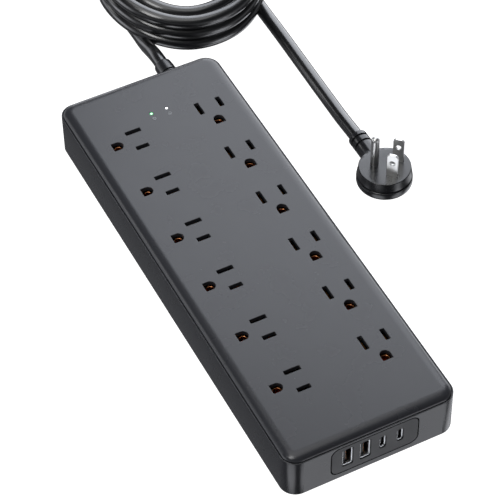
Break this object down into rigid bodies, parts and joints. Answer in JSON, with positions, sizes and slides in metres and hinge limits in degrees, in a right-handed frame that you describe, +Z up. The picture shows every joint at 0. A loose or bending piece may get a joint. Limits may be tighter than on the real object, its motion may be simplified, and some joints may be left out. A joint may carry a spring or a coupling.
{
  "type": "surge protector power strip",
  "caption": "Flat black surge protector strip with staggered outlet columns, upright USB ports in one end, and a coiled cord ending in a low-profile angled plug.",
  "frame": {"origin": "middle of the case's underside, on the surface it rests on", "axes": "+Y along the strip from the USB end to the cord end, +X across from the left outlet column to the right, +Z up out of the outlets"},
  "size_m": [0.1674, 0.4106, 0.0328],
  "materials": {
    "case_plastic_lower": "fine matt moulded",
    "case_plastic_upper": "fine matt moulded",
    "zinc_screw": "zinc plated",
    "silver_label": "satin film",
    "faceplate_plastic": "fine matt moulded",
    "nickel_shell": "nickel plated",
    "black_insulator": "moulded",
    "green_board": "solder mask",
    "transformer_tape": "polyester tape",
    "capacitor_sleeve": "heat-shrunk sleeve",
    "brass_contact": "stamped",
    "varistor_blue": "dipped epoxy",
    "capacitor_yellow": "moulded box",
    "tinned_metal": "tinned",
    "led_green": "clear lens",
    "led_white": "clear lens",
    "gloss_black": "polished moulded",
    "wire_black": "PVC",
    "wire_white": "PVC",
    "wire_green": "PVC",
    "cord_pvc": "satin PVC",
    "plug_pvc": "moulded PVC",
    "nickel_blade": "nickel plated"
  },
  "bodies": {
    "strip": {"base_shell": "case_plastic_lower", "top_cover": "case_plastic_upper", "case_screws": "zinc_screw", "rating_label": "silver_label", "usb_faceplate": "faceplate_plastic", "usb_a_shell_1": "nickel_shell", "usb_a_shell_2": "nickel_shell", "usb_c_shell_1": "nickel_shell", "usb_c_shell_2": "nickel_shell", "usb_a_tongue_1": "black_insulator", "usb_a_tongue_2": "black_insulator", "usb_c_tongue_1": "black_insulator", "usb_c_tongue_2": "black_insulator", "usb_circuit_board": "green_board", "usb_transformer": "transformer_tape", "usb_capacitors": "capacitor_sleeve", "left_neutral_bus": "brass_contact", "left_line_bus": "brass_contact", "left_ground_bus": "brass_contact", "right_neutral_bus": "brass_contact", "right_line_bus": "brass_contact", "right_ground_bus": "brass_contact", "surge_circuit_board": "green_board", "varistors": "varistor_blue", "film_capacitor": "capacitor_yellow", "thermal_fuse": "tinned_metal", "led_circuit_board": "green_board", "led_lens_green": "led_green", "led_lens_white": "led_white", "breaker_housing": "black_insulator", "breaker_bushing": "gloss_black", "reset_spring": "tinned_metal", "line_wires": "wire_black", "neutral_wires": "wire_white", "ground_wires": "wire_green", "cord_clamp": "black_insulator", "clamp_screws": "zinc_screw", "cord_gland": "cord_pvc", "cord_lead": "cord_pvc", "cord_coil": "cord_pvc", "cord_tail": "cord_pvc", "plug_body": "plug_pvc", "plug_neutral_blade": "nickel_blade", "plug_line_blade": "nickel_blade", "plug_ground_pin": "nickel_blade"},
    "reset_button": {"reset_button": "gloss_black"}
  },
  "joints": [
    {"name": "reset_travel", "type": "slide", "parent": "strip", "child": "reset_button", "axis": [0, 1, 0], "range_m": [0, 0.0025]}
  ]
}
